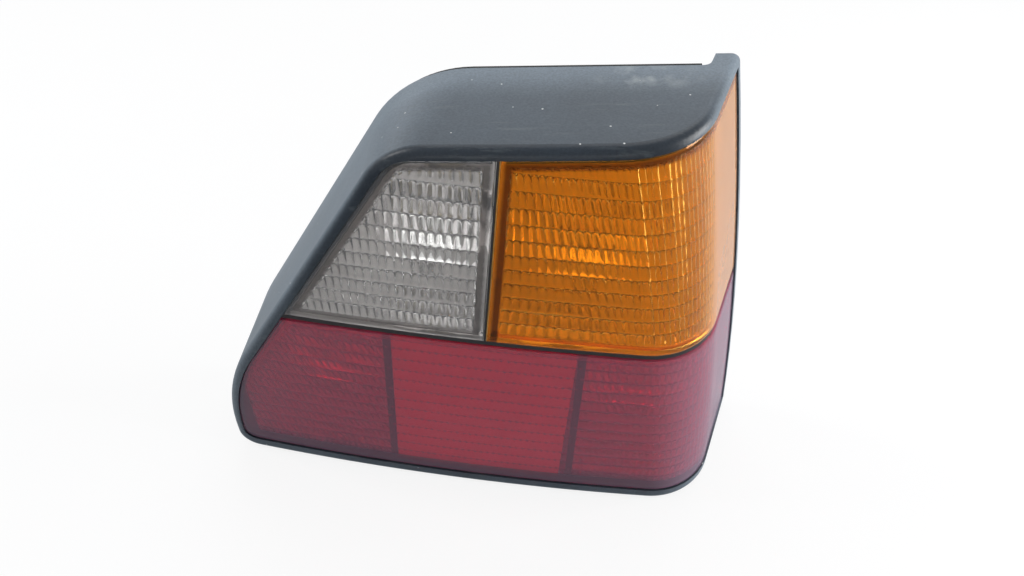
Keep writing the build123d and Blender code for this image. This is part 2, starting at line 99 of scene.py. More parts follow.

# ABS, moulded in a spark-eroded tool: a soft broad sheen, partly painted into the colour, slight
# mottling, pale scuffs, specks of dust
housing_plastic, tree, shader, place = finish_named("housing_plastic")
mottle = add(tree, "ShaderNodeTexNoise", {
    "Vector": place, "Scale": per_metre(45), "Detail": 5.0, "Roughness": 0.6})
clean = add(tree, "ShaderNodeMix", {
    0: mottle.outputs["Fac"], 6: linear("#1c2229"), 7: linear("#353e48")}, data_type="RGBA")
# A thin film of dust, painted paler the lower the angle it is seen at: real dust and a painted sheen
edge_on = add(tree, "ShaderNodeLayerWeight", {"Blend": 0.5})
dust_and_sheen_veil = add(tree, "ShaderNodeMapRange", {
    "Value": edge_on.outputs["Facing"], "From Min": 0.25, "From Max": 0.78, "To Max": 0.85},
    interpolation_type="SMOOTHSTEP")
patchy = add(tree, "ShaderNodeMapRange", {
    "Value": mottle.outputs["Fac"], "From Min": 0.3, "From Max": 0.7, "To Min": 0.8, "To Max": 1.1})
# More of it lies along the rear edge of the shelf on faces that point up, where the lamp meets the
# vehicle's panel; this paler band is also a painted sheen on the far shelf
along = add(tree, "ShaderNodeSeparateXYZ", {"Vector": place})
facing = add(tree, "ShaderNodeSeparateXYZ", {
    "Vector": add(tree, "ShaderNodeNewGeometry").outputs["Normal"]})
rear_edge = add(tree, "ShaderNodeMapRange", {
    "Value": along.outputs["Y"], "From Min": (SHELF_REAR - DUST_AND_SHEEN_REACH) / 1000,
    "From Max": SHELF_REAR / 1000, "To Max": 0.6}, interpolation_type="SMOOTHSTEP")
rear_dust_and_sheen = add(tree, "ShaderNodeMath", {
    0: rear_edge.outputs["Result"], 1: facing.outputs["Z"]}, operation="MULTIPLY", use_clamp=True)
# Share of the pale dust colour: real dust, and a painted sheen at a low angle and on the far shelf
dust_and_sheen_share = add(tree, "ShaderNodeMath", {
    0: dust_and_sheen_veil.outputs["Result"], 1: patchy.outputs["Result"], 2: rear_dust_and_sheen.outputs[0]},
    operation="MULTIPLY_ADD", use_clamp=True)
tint = add(tree, "ShaderNodeMix", {
    0: dust_and_sheen_share.outputs[0], 6: clean.outputs[2], 7: linear("#78848f")}, data_type="RGBA")
# The real grain is about 0.3 mm; it is drawn at 0.9 mm so that it shows
grain = add(tree, "ShaderNodeTexNoise", {"Vector": place, "Scale": per_metre(0.9), "Detail": 2.0})
grainy = add(tree, "ShaderNodeMix", {
    0: 0.35, 6: tint.outputs[2], 7: grain.outputs["Fac"]}, data_type="RGBA", blend_type="OVERLAY")
stretched = add(tree, "ShaderNodeMapping", {
    "Vector": place, "Rotation": (0.2, 0.1, 0.5), "Scale": (1.0, 9.0, 4.0)})
streaks = add(tree, "ShaderNodeTexNoise", {
    "Vector": stretched.outputs["Vector"], "Scale": per_metre(30), "Detail": 8.0, "Roughness": 0.7})
scuff = add(tree, "ShaderNodeMapRange", {
    "Value": streaks.outputs["Fac"], "From Min": 0.56, "From Max": 0.76, "To Max": 0.45})
scuffed = add(tree, "ShaderNodeMix", {
    0: scuff.outputs["Result"], 6: grainy.outputs[2], 7: linear("#767d80")}, data_type="RGBA")
# A chalky worn patch on the shelf, near its rear edge and outer end
patch_place = add(tree, "ShaderNodeMapping", {
    "Vector": place, "Location": PATCH_AT / 1000, "Scale": PATCH_REACH / 1000}, vector_type="TEXTURE")
patch = add(tree, "ShaderNodeTexGradient", {
    "Vector": patch_place.outputs["Vector"]}, gradient_type="SPHERICAL")
cloud = add(tree, "ShaderNodeTexNoise", {
    "Vector": place, "Scale": per_metre(9), "Detail": 6.0, "Roughness": 0.65})
chalk = add(tree, "ShaderNodeMapRange", {
    "Value": cloud.outputs["Fac"], "From Min": 0.42, "From Max": 0.66})
smudge = add(tree, "ShaderNodeMath", {
    0: patch.outputs["Fac"], 1: chalk.outputs["Result"]}, operation="MULTIPLY")
worn = add(tree, "ShaderNodeMath", {
    0: smudge.outputs[0], 1: facing.outputs["Z"]}, operation="MULTIPLY", use_clamp=True)
chalky = add(tree, "ShaderNodeMix", {
    0: worn.outputs[0], 6: scuffed.outputs[2], 7: linear("#aab2b5")}, data_type="RGBA")
dots = add(tree, "ShaderNodeTexVoronoi", {"Vector": place, "Scale": per_metre(8)})
speck = add(tree, "ShaderNodeMapRange", {
    "Value": dots.outputs["Distance"], "From Min": 0.055, "From Max": 0.035, "To Max": 0.9})
dusty = add(tree, "ShaderNodeMix", {
    0: speck.outputs["Result"], 6: chalky.outputs[2], 7: linear("#e4e6e6")}, data_type="RGBA")
gloss = add(tree, "ShaderNodeMapRange", {
    "Value": mottle.outputs["Fac"], "From Min": 0.3, "From Max": 0.7, "To Min": 0.28, "To Max": 0.42})
bump = add(tree, "ShaderNodeBump", {
    "Height": grain.outputs["Fac"], "Strength": 0.12, "Distance": 0.0004})
tree.links.new(dusty.outputs[2], shader.inputs["Base Color"])
tree.links.new(gloss.outputs["Result"], shader.inputs["Roughness"])
tree.links.new(bump.outputs["Normal"], shader.inputs["Normal"])
shader.inputs["IOR"].default_value = 1.54
shader.inputs["Specular IOR Level"].default_value = 0.2
dress("housing", housing_plastic)


# Mounting studs: zinc-plated M6 steel studs with round heads, pressed through the housing's back wall.
# Rolled threads run the length outside the wall.
STUD_R = 3.0
STUD_ROOT_R = 2.45
STUD_PITCH = 1.0
STUD_HEAD_R = 5.5
STUD_HEAD = 2.4
COLLAR_R = 3.4
COLLAR_LENGTH = 6.0
SHOULDER_STEP = 0.01
PLAIN_END = 1.0
TIP_BEVEL = 0.8
THREAD_STEPS = 8
ROUND_STEPS = 32
# Rise and draw-in of the points that round the head's edge
HEAD_EDGE = ((0.0, 1.2), (0.4, 0.3), (1.0, 0.0))


def piece(name, points, faces, material, slot, *replaced, sharp_deg=35.0):
    """A mesh in mm made into a piece that rides on the lamp and stands for CAD nodes."""
    mesh = bpy.data.meshes.new(name)
    made = bmesh.new()
    verts = [made.verts.new(Vector(p) * 0.001) for p in points]
    for face in faces:
        made.faces.new([verts[i] for i in face])
    bmesh.ops.recalc_face_normals(made, faces=made.faces)
    for face in made.faces:
        face.smooth = True
    for edge in made.edges:
        edge.smooth = edge.is_manifold and edge.calc_face_angle(0.0) < math.radians(sharp_deg)
    made.to_mesh(mesh)
    made.free()
    mesh.materials.append(material)
    shape = bpy.data.objects.new(name, mesh)
    bpy.context.scene.collection.objects.link(shape)
    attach(shape, "root")
    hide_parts(*replaced)


def turned(profile, centre, twist_at):
    """Points and faces of a bar turned about Y from (y, radius) rows; twist_at is cut off the radius."""
    points = []
    faces = []
    for y, radius in profile:
        for k in range(ROUND_STEPS):
            angle = 2 * math.pi * k / ROUND_STEPS
            r = radius - twist_at(y, angle)
            points.append((centre[0] + r * math.cos(angle), y, centre[1] + r * math.sin(angle)))
    for row in range(len(profile) - 1):
        for k in range(ROUND_STEPS):
            a = row * ROUND_STEPS + k
            b = row * ROUND_STEPS + (k + 1) % ROUND_STEPS
            faces.append((a, b, b + ROUND_STEPS, a + ROUND_STEPS))
    faces.append(tuple(reversed(range(ROUND_STEPS))))
    last = (len(profile) - 1) * ROUND_STEPS
    faces.append(tuple(range(last, last + ROUND_STEPS)))
    return points, faces


def mottled(name, patch_mm, detail, dark, pale, roughness=0.5):
    """A new material whose colour drifts between two tones in patches of this size, and that drift."""
    material, tree, shader, place = finish_named(name)
    drift = add(tree, "ShaderNodeTexNoise", {
        "Vector": place, "Scale": per_metre(patch_mm), "Detail": detail, "Roughness": roughness})
    tone = add(tree, "ShaderNodeMix", {
        0: drift.outputs["Fac"], 6: linear(dark), 7: linear(pale)}, data_type="RGBA")
    tree.links.new(tone.outputs[2], shader.inputs["Base Color"])
    return material, tree, shader, drift.outputs["Fac"]


# Zinc plate: bright, slightly greyish steel with dull patches
stud_steel, tree, shader, patches = mottled("stud_steel", 4, 4.0, "#a7a9a6", "#d2d4d3")
dulling = add(tree, "ShaderNodeMapRange", {"Value": patches, "To Min": 0.28, "To Max": 0.5})
tree.links.new(dulling.outputs["Result"], shader.inputs["Roughness"])
shader.inputs["Metallic"].default_value = 1.0

stud_low, stud_high = (v * 1000 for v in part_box("mounting_studs"))
stud_places = [(x, z) for x in (stud_low.x + STUD_HEAD_R, stud_high.x - STUD_HEAD_R)
               for z in (stud_low.z + STUD_HEAD_R, stud_high.z - STUD_HEAD_R)]
thread_depth = STUD_R - STUD_ROOT_R
collar_end = stud_low.y + STUD_HEAD + COLLAR_LENGTH
thread_from = collar_end + PLAIN_END
thread_to = stud_high.y - PLAIN_END
thread_rows = int((thread_to - thread_from) * THREAD_STEPS / STUD_PITCH)


def thread_cut(y, angle):
    """How far the thread's groove lowers the shank at this point."""
    if not thread_from < y < thread_to:
        return 0.0
    run_in = min(1.0, (y - thread_from) / STUD_PITCH, (thread_to - y) / STUD_PITCH)
    turn = (y / STUD_PITCH + angle / (2 * math.pi)) % 1.0
    return run_in * thread_depth * abs(2 * turn - 1)


stud_points = []
stud_faces = []
for stud_place in stud_places:
    rows = [(stud_low.y + rise, STUD_HEAD_R - draw_in) for rise, draw_in in HEAD_EDGE]
    rows += [(stud_low.y + STUD_HEAD, STUD_HEAD_R), (stud_low.y + STUD_HEAD + SHOULDER_STEP, COLLAR_R),
             (collar_end, COLLAR_R), (collar_end + SHOULDER_STEP, STUD_R)]
    rows += [(thread_from + (thread_to - thread_from) * k / thread_rows, STUD_R)
             for k in range(thread_rows + 1)]
    rows += [(stud_high.y - TIP_BEVEL, STUD_R), (stud_high.y, STUD_R - TIP_BEVEL)]
    points, faces = turned(rows, stud_place, thread_cut)
    stud_faces += [tuple(i + len(stud_points) for i in face) for face in faces]
    stud_points += points
piece("threaded_studs", stud_points, stud_faces, stud_steel, "stud_steel", "mounting_studs",
      sharp_deg=50.0)


# Gasket: closed-cell foam rubber, a die-cut loop stuck to the back wall, which seals against the body.
# Foam, cut: matt black with open pores where the blade went through the cells.
gasket_rubber, tree, shader, place = finish_named("gasket_rubber")
cells = add(tree, "ShaderNodeTexVoronoi", {"Vector": place, "Scale": per_metre(0.9)})
pores = add(tree, "ShaderNodeMapRange", {
    "Value": cells.outputs["Distance"], "From Min": 0.1, "From Max": 0.5})
foam = add(tree, "ShaderNodeMix", {
    0: pores.outputs["Result"], 6: linear("#141415"), 7: linear("#2e2f30")}, data_type="RGBA")
pitted = add(tree, "ShaderNodeBump", {
    "Height": cells.outputs["Distance"], "Strength": 0.5, "Distance": 0.0004})
tree.links.new(foam.outputs[2], shader.inputs["Base Color"])
tree.links.new(pitted.outputs["Normal"], shader.inputs["Normal"])
shader.inputs["Roughness"].default_value = 0.9
dress("housing_gasket", gasket_rubber)


# Reflector panel: a moulded plate with a bowl round each bulb, and a wall round the chambers.
# ABS, lacquered and vacuum-aluminised: bright film in the bowls and on the wall, slightly hazy with age;
# the flat between the bowls was masked and is bare pale plastic.
BOWL_START = 2.2
BOWL_EDGE = 0.2
aluminised_plastic, tree, shader, place = finish_named("aluminised_plastic")
ageing = add(tree, "ShaderNodeTexNoise", {"Vector": place, "Scale": per_metre(18), "Detail": 5.0})
film = add(tree, "ShaderNodeMix", {
    0: ageing.outputs["Fac"], 6: linear("#f4f5f5"), 7: linear("#fcfcfc")}, data_type="RGBA")
bare = add(tree, "ShaderNodeMix", {
    0: ageing.outputs["Fac"], 6: linear("#d2d1ce"), 7: linear("#dedddb")}, data_type="RGBA")
facing = add(tree, "ShaderNodeSeparateXYZ", {
    "Vector": add(tree, "ShaderNodeNewGeometry").outputs["True Normal"]})
forward = add(tree, "ShaderNodeMapRange", {
    "Value": facing.outputs["Y"], "From Min": -0.9, "From Max": -0.98})
depth = add(tree, "ShaderNodeSeparateXYZ", {"Vector": place})
on_flat = add(tree, "ShaderNodeMapRange", {
    "Value": depth.outputs["Y"],
    "From Min": (BOWL_START + BOWL_EDGE) / 1000, "From Max": BOWL_START / 1000})
flat_share = add(tree, "ShaderNodeMath", {
    0: forward.outputs["Result"], 1: on_flat.outputs["Result"]}, operation="MULTIPLY")
coat = add(tree, "ShaderNodeMath", {0: 1.0, 1: flat_share.outputs[0]}, operation="SUBTRACT")
colour = add(tree, "ShaderNodeMix", {
    0: coat.outputs[0], 6: bare.outputs[2], 7: film.outputs[2]}, data_type="RGBA")
haze = add(tree, "ShaderNodeMapRange", {"Value": ageing.outputs["Fac"], "To Min": 0.06, "To Max": 0.2})
tree.links.new(colour.outputs[2], shader.inputs["Base Color"])
tree.links.new(haze.outputs["Result"], shader.inputs["Roughness"])
tree.links.new(coat.outputs[0], shader.inputs["Metallic"])
dress("reflector_panel", aluminised_plastic)


# Chamber frame: black polypropylene walls that part the lamp chambers. Its edges show as the black gaps
# between the lenses, and its two bars show through the red one.
# Polypropylene, moulded: near black and waxy on the edges; the walls' sides carry the aluminium film.
frame_plastic, tree, shader, place = finish_named("frame_plastic")
flow = add(tree, "ShaderNodeTexNoise", {"Vector": place, "Scale": per_metre(12), "Detail": 4.0})
black = add(tree, "ShaderNodeMix", {
    0: flow.outputs["Fac"], 6: linear("#121214"), 7: linear("#232427")}, data_type="RGBA")
facing = add(tree, "ShaderNodeSeparateXYZ", {
    "Vector": add(tree, "ShaderNodeNewGeometry").outputs["True Normal"]})
side = add(tree, "ShaderNodeMapRange", {
    "Value": facing.outputs["Y"], "From Min": -0.25, "From Max": -0.15})
walls = add(tree, "ShaderNodeMix", {
    0: side.outputs["Result"], 6: black.outputs[2], 7: linear("#f6f6f6")}, data_type="RGBA")
sheen = add(tree, "ShaderNodeMapRange", {
    "Value": side.outputs["Result"], "To Min": 0.5, "To Max": 0.25})
tree.links.new(walls.outputs[2], shader.inputs["Base Color"])
tree.links.new(sheen.outputs["Result"], shader.inputs["Roughness"])
tree.links.new(side.outputs["Result"], shader.inputs["Metallic"])
dress("chamber_frame", frame_plastic)


# Lenses: three injection-moulded acrylic trays that wrap round the lamp's outer corner. The face is
# smooth outside and set with small pillows inside; a skirt all round sits in the housing's pocket.
# The wrapped front: a shallow bow, a tighter corner that leans and bulges, and a straight side
FRONT_RADIUS = 1500.0
BOW_LEAD = 30.0
RAKE = 0.029
CORNER_X = 96.5
CORNER_LEAN = 0.264
CORNER_BULGE = 5.5
CORNER_RADIUS = 39.5
BULGE_MIDDLE = 125.0
BULGE_REACH = 137.0
SIDE_TURN = math.radians(69.0)
# The moulding: how far its face lies behind the housing's rim, its wall and its skirt
SET_BACK = 0.7
WALL = 2.4
SKIRT_BACK = 6.7
SKIRT_WALL = 2.2
EDGE_ROUND = 0.6
# The outline of the three lenses together, the gaps between them and the housing's rim round them
LENS_END = 67.5
LENS_FOOT = 4.5
INBOARD_X = -124.0
BEND_Z = 46.5
SLANT_TOP = (-35.0, 202.4)
TOP_RISE = 0.12
TOP_SPAN = 100.0
FOOT_CORNER_R = 7.0
BEND_R = 130.0
TOP_CORNER_R = 16.0
DIVIDER_Z = 111.6
DIVIDER_GAP = 4.0
UPRIGHT_X = 2.5
UPRIGHT_GAP = 1.8
RIM_WIDTH = 4.5
RIM_FOOT = 4.0
# The pillows, the plain margin round them and how softly its painted shade ends
PILLOW_WIDE = 3.25
PILLOW_TALL = 7.6
PILLOW_MARGIN = 4.4
PILLOW_RUN_IN = 1.0
PILLOW_SAG_ACROSS = 0.5
PILLOW_SAG_UP = 0.5
SHADE_FADE = 0.5
# How finely the meshes are drawn: steps along a border, over a smooth face and in the corners' arcs,
# cells in one pillow, the grid's distance from a border in steps, and the sharpest mitre; then how many
# points are worked on at once, and rounds of working out a place that depends on itself
BORDER_STEP = 1.5
FACE_STEP = (2.4, 4.8)
FOOT_ARC_STEPS = 10
BEND_ARC_STEPS = 24
TOP_ARC_STEPS = 14
CELLS_ACROSS = 6
CELLS_UP = 10
GRID_CLEAR = 0.35
MITRE_LIMIT = 0.4
BATCH = 2000
ROUNDS = 12

housing_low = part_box("housing")[0] * 1000
to_row = Vector((housing_low.x - INBOARD_X + RIM_WIDTH, housing_low.y, RIM_WIDTH + RIM_FOOT - LENS_FOOT))
bow_turn = math.asin(BOW_LEAD / FRONT_RADIUS)
corner_run = CORNER_RADIUS * (SIDE_TURN - bow_turn)


def crown_x(z):
    """Where the front's crown lies at this height: it leans inboard and bows out at half height."""
    bulge = CORNER_BULGE * (1 - ((z - BULGE_MIDDLE) / BULGE_REACH) ** 2)
    return CORNER_X - CORNER_LEAN * z + bulge - BOW_LEAD


def on_face(run, z, inset):
    """Point on the wrapped front: run mm along it from the corner's start, z mm up, inset mm in."""
    centre_y = RAKE * z + FRONT_RADIUS
    if run < 0:
        angle = bow_turn + run / FRONT_RADIUS
        bow = FRONT_RADIUS - inset
        return Vector((crown_x(z) + bow * math.sin(angle), centre_y - bow * math.cos(angle), z))
    past = max(0.0, run - corner_run)
    angle = bow_turn + min(run, corner_run) / CORNER_RADIUS
    hub = FRONT_RADIUS - CORNER_RADIUS
    hub_x = crown_x(z) + hub * math.sin(bow_turn)
    hub_y = centre_y - hub * math.cos(bow_turn)
    bend = CORNER_RADIUS - inset
    return Vector((hub_x + bend * math.sin(angle) + past * math.cos(angle),
                   hub_y - bend * math.cos(angle) + past * math.sin(angle), z))


def run_at(x, z):
    """Run along the front at which it has this x, on the front's bow."""
    return (math.asin((x - crown_x(z)) / FRONT_RADIUS) - bow_turn) * FRONT_RADIUS


def run_end(z):
    """Run along the side at which the lens ends."""
    return corner_run + (LENS_END - on_face(corner_run, z, SET_BACK).y) / math.sin(SIDE_TURN)


def top_at(run):
    """Height of the lens field's top edge at this run."""
    z = SLANT_TOP[1]
    for _ in range(ROUNDS):
        z = SLANT_TOP[1] + TOP_RISE * (on_face(run, z, SET_BACK).x - SLANT_TOP[0])
    return z


def rounded(before, corner, after, radius, steps):
    """Points of an arc that rounds a corner between two straight edges."""
    corner, before, after = Vector(corner), Vector(before), Vector(after)
    one = (before - corner).normalized()
    two = (after - corner).normalized()
    half = one.angle(two) / 2
    hub = corner + (one + two).normalized() * (radius / math.sin(half))
    start = corner + one * (radius / math.tan(half)) - hub
    end = corner + two * (radius / math.tan(half)) - hub
    sweep = math.atan2(start.x * end.y - start.y * end.x, start.dot(end))
    angles = [math.atan2(start.y, start.x) + sweep * k / steps for k in range(steps + 1)]
    return [hub + radius * Vector((math.cos(angle), math.sin(angle))) for angle in angles]


def stepped(points):
    """The same open line with points added no more than a border step apart."""
    line = [Vector(points[0])]
    for a, b in zip(points, points[1:]):
        a, b = Vector(a), Vector(b)
        count = max(1, math.ceil((b - a).length / BORDER_STEP))
        line += [a.lerp(b, k / count) for k in range(1, count + 1)]
    return line


along_top = (SLANT_TOP[0] + TOP_SPAN, SLANT_TOP[1] + TOP_SPAN * TOP_RISE)
inboard_edge = stepped(
    rounded((0, LENS_FOOT), (INBOARD_X, LENS_FOOT), (INBOARD_X, BEND_Z), FOOT_CORNER_R, FOOT_ARC_STEPS)
    + rounded((INBOARD_X, LENS_FOOT), (INBOARD_X, BEND_Z), SLANT_TOP, BEND_R, BEND_ARC_STEPS)
    + rounded((INBOARD_X, BEND_Z), SLANT_TOP, along_top, TOP_CORNER_R, TOP_ARC_STEPS))


def inset_border(border, depth):
    """The border moved inward by depth mm, point for point."""
    count = len(border)
    moved = []
    for k in range(count):
        before = (border[k] - border[k - 1]).normalized()
        after = (border[(k + 1) % count] - border[k]).normalized()
        out = Vector((before.y + after.y, -before.x - after.x)).normalized()
        lean = max(MITRE_LIMIT, out.dot(Vector((after.y, -after.x))))
        moved.append(border[k] - out * (depth / lean))
    return moved


def depth_inside(points, border):
    """How far inside the border each point lies, in mm; negative outside."""
    ends = np.array([tuple(b) for b in border])
    span = np.roll(ends, -1, 0) - ends
    depth = np.empty(len(points))
    for start in range(0, len(points), BATCH):
        part = points[start:start + BATCH, None, :] - ends[None]
        along = np.clip((part * span).sum(2) / (span ** 2).sum(1), 0, 1)
        near = np.linalg.norm(part - along[..., None] * span, axis=2).min(1)
        rise = part[..., 1]
        crosses = (rise >= 0) != (rise >= span[:, 1])
        level = np.where(span[:, 1] == 0, 1e-9, span[:, 1])
        left = part[..., 0] < rise / level * span[:, 0]
        inside = (crosses & left).sum(1) % 2 == 1
        depth[start:start + BATCH] = np.where(inside, near, -near)
    return depth


def grid_lines(values, step, phase):
    """Evenly spaced places that cover these values, one of them at phase."""
    first = math.floor((min(values) - phase) / step)
    last = math.ceil((max(values) - phase) / step)
    return phase + step * np.arange(first, last + 1)


def filled(border, steps, phase):
    """Faces that fill a border, on its own points and on a grid inside it."""
    across = grid_lines([b.x for b in border], steps[0], phase[0])
    up = grid_lines([b.y for b in border], steps[1], phase[1])
    grid = np.array([(u, z) for z in up for u in across])
    grid = grid[depth_inside(grid, border) > GRID_CLEAR * min(steps)]
    flat = list(border) + [Vector((float(u), float(z))) for u, z in grid]
    loop = list(range(len(border)))
    points, _, faces, sources, _, _ = delaunay_2d_cdt(flat, [], [loop], 1, 1e-5)
    order = {source: k for k, known in enumerate(sources) for source in known}
    return points, faces, [order[k] for k in loop]


def lens(name, border, run_of, thickness, steps, phase, material, slot, node):
    """Tray of one lens over a border in (u, z); run_of turns u into a run along the front."""
    points = []
    faces = []

    def lay(flat, inset):
        """Adds points at this inset and gives their numbers."""
        first = len(points)
        for k, p in enumerate(flat):
            depth = inset if isinstance(inset, float) else inset[k]
            points.append(on_face(run_of(p[0], p[1]), p[1], depth) + to_row)
        return list(range(first, len(points)))

    def band(one, two):
        """Joins two rings of points with faces."""
        count = len(one)
        faces.extend((one[k], one[(k + 1) % count], two[(k + 1) % count], two[k]) for k in range(count))

    crest = inset_border(border, EDGE_ROUND)
    flat, skin, ring = filled(crest, FACE_STEP, (0.0, 0.0))
    outside = lay(flat, SET_BACK)
    faces.extend(tuple(outside[i] for i in face) for face in skin)
    round_middle = EDGE_ROUND * 0.3
    shoulder = lay(inset_border(border, round_middle), SET_BACK + round_middle)
    edge = lay(border, SET_BACK + EDGE_ROUND)
    foot = lay(border, SKIRT_BACK)
    throat = inset_border(border, SKIRT_WALL)
    foot_inner = lay(throat, SKIRT_BACK)
    flat, skin, inner_ring = filled(throat, steps, phase)
    depth = depth_inside(np.array([tuple(p) for p in flat]), border)
    inside = lay(flat, [SET_BACK + WALL + thickness(p[0], p[1], d) for p, d in zip(flat, depth)])
    faces.extend(tuple(inside[i] for i in reversed(face)) for face in skin)
    outer_ring = [outside[i] for i in ring]
    rings = [outer_ring, shoulder, edge, foot, foot_inner, [inside[i] for i in inner_ring]]
    for one, two in zip(rings, rings[1:]):
        band(one, two)
    piece(name, points, faces, material, slot, node, sharp_deg=28.0)


def pillows(across, up, sag_across, sag_up):
    """Height of the pillow at a place counted in pillows: round across, flatter and steep-ended up."""
    a = across % 1.0 - 0.5
    b = up % 1.0 - 0.5
    return sag_across * (1 - 4 * a * a) + sag_up * (1 - 2 * b * b - 0.5 * (2 * b) ** 6)


def run_in(depth):
    """Share of the pillows' height at this depth inside the border, rising from the plain margin."""
    return min(1.0, max(0.0, (depth - PILLOW_MARGIN) / PILLOW_RUN_IN + 0.5))


def margin_painted_shade(tree, place, edges, reach):
    """Share of painted shade in the margin along straight edges, each given by its inward way and a
    point.
    """
    nearest = None
    for way, point in edges:
        start = (way[0] * (point[0] + to_row.x) + way[1] * (point[1] + to_row.z)) / 1000
        inward = add(tree, "ShaderNodeVectorMath", {
            0: place, 1: (way[0], 0, way[1])}, operation="DOT_PRODUCT")
        gap = add(tree, "ShaderNodeMath", {0: inward.outputs["Value"], 1: start}, operation="SUBTRACT")
        nearest = gap if nearest is None else add(
            tree, "ShaderNodeMath", {0: nearest.outputs[0], 1: gap.outputs[0]}, operation="MINIMUM")
    rising = add(tree, "ShaderNodeMapRange", {
        "Value": nearest.outputs[0], "From Min": EDGE_ROUND / 1000, "From Max": SKIRT_WALL / 1000})
    falling = add(tree, "ShaderNodeMapRange", {
        "Value": nearest.outputs[0],
        "From Min": (reach + SHADE_FADE) / 1000, "From Max": (reach - SHADE_FADE) / 1000})
    return add(tree, "ShaderNodeMath", {
        0: rising.outputs["Result"], 1: falling.outputs["Result"]}, operation="MINIMUM")


def worn_shaded_acrylic(name, smear_mm, colours, edges, reach, shade_colour, gloss):
    """New see-through acrylic under a smeared film, with painted shade in its margin, and the node of its
    colour.
    """
    material, tree, shader, place = finish_named(name)
    smear = add(tree, "ShaderNodeTexNoise", {
        "Vector": place, "Scale": per_metre(smear_mm), "Detail": 6.0, "Roughness": 0.65})
    through = add(tree, "ShaderNodeMix", {
        0: smear.outputs["Fac"], 6: linear(colours[0]), 7: linear(colours[1])}, data_type="RGBA")
    # The margin is darkened towards a given colour: painted shade of the dim chamber edge behind the lens
    margin_shade = margin_painted_shade(tree, place, edges, reach)
    margin_shaded = add(tree, "ShaderNodeMix", {
        0: margin_shade.outputs[0], 6: through.outputs[2], 7: linear(shade_colour)}, data_type="RGBA")
    worn = add(tree, "ShaderNodeMapRange", {
        "Value": smear.outputs["Fac"],
        "From Min": 0.35, "From Max": 0.7, "To Min": gloss[0], "To Max": gloss[1]})
    tree.links.new(margin_shaded.outputs[2], shader.inputs["Base Color"])
    tree.links.new(worn.outputs["Result"], shader.inputs["Roughness"])
    shader.inputs["IOR"].default_value = 1.49
    return material, tree, shader, margin_shaded


# Reverse lens: clear acrylic, the inboard upper tray. Its pillows stand in upright columns inside a
# plain margin. Acrylic, polished tool: clear and glossy, greyed by fine scratches and road film.
slant_way = Vector((SLANT_TOP[1] - BEND_Z, INBOARD_X - SLANT_TOP[0])).normalized()
top_way = Vector((TOP_RISE, -1)).normalized()
clear_right = UPRIGHT_X - UPRIGHT_GAP / 2
upper_foot = DIVIDER_Z + DIVIDER_GAP / 2
clear_edges = (
    (slant_way, SLANT_TOP), (top_way, SLANT_TOP), ((-1, 0), (clear_right, 0)), ((0, 1), (0, upper_foot)))
# Its darker margin colour, #8f8885, is painted shade
clear_acrylic, _, shader, _ = worn_shaded_acrylic(
    "clear_acrylic", 9, ("#f8f5f4", "#fffdfc"), clear_edges, PILLOW_MARGIN, "#8f8885", (0.03, 0.12))
shader.inputs["Transmission Weight"].default_value = 0.95
shader.inputs["Sheen Weight"].default_value = 0.12
shader.inputs["Sheen Roughness"].default_value = 0.8

pillow_row_z = upper_foot + PILLOW_MARGIN
pillow_first_x = clear_right - PILLOW_MARGIN
slant = [p for p in inboard_edge if p.y > upper_foot]
below = [p for p in inboard_edge if p.y <= upper_foot][-1]
foot_left = below.lerp(slant[0], (upper_foot - below.y) / (slant[0].y - below.y))
clear_top = SLANT_TOP[1] + TOP_RISE * (clear_right - SLANT_TOP[0])
clear_border = stepped([foot_left, (clear_right, upper_foot), (clear_right, clear_top), slant[-1]])
clear_border = clear_border[:-1] + list(reversed(slant))


def clear_pillows(x, z, depth):
    """Pillow height on the reverse lens."""
    across = (pillow_first_x - x) / PILLOW_WIDE
    up = (z - pillow_row_z) / PILLOW_TALL
    return run_in(depth) * pillows(across, up, PILLOW_SAG_ACROSS, PILLOW_SAG_UP)


fine_steps = (PILLOW_WIDE / CELLS_ACROSS, PILLOW_TALL / CELLS_UP)
lens("reverse_lens_tray", clear_border, run_at, clear_pillows, fine_steps,
     (pillow_first_x, pillow_row_z), clear_acrylic, "clear_acrylic", "reverse_lens")


# Indicator lens: amber acrylic, the outer upper tray. Its columns of pillows fan out to follow the
# lean of the corner. Amber acrylic, polished tool: deep orange through; its pale wash at a low angle is a
# painted reflection.
amber_left = UPRIGHT_X + UPRIGHT_GAP / 2
amber_edges = ((top_way, SLANT_TOP), ((1, 0), (amber_left, 0)))
# Its darker margin colour, #8a5634, is painted shade
amber_acrylic, tree, shader, amber = worn_shaded_acrylic(
    "amber_acrylic", 9, ("#ffb444", "#ffc054"), amber_edges, PILLOW_MARGIN, "#8a5634", (0.03, 0.12))
# Paler towards a low angle: a painted reflection of the bright room, mixed into the colour
edge_on = add(tree, "ShaderNodeLayerWeight", {"Blend": 0.5})
pale = add(tree, "ShaderNodeMapRange", {
    "Value": edge_on.outputs["Facing"], "From Min": 0.5, "From Max": 0.95, "To Max": 0.8})
painted_reflection_wash = add(tree, "ShaderNodeMix", {
    0: pale.outputs["Result"], 6: amber.outputs[2], 7: linear("#ffc09e")}, data_type="RGBA")
milky = add(tree, "ShaderNodeMapRange", {
    "Value": edge_on.outputs["Facing"], "From Min": 0.55, "From Max": 0.9, "To Min": 0.92, "To Max": 0.3})
tree.links.new(painted_reflection_wash.outputs[2], shader.inputs["Base Color"])
tree.links.new(milky.outputs["Result"], shader.inputs["Transmission Weight"])
shader.inputs["Specular Tint"].default_value = linear("#ffb050")

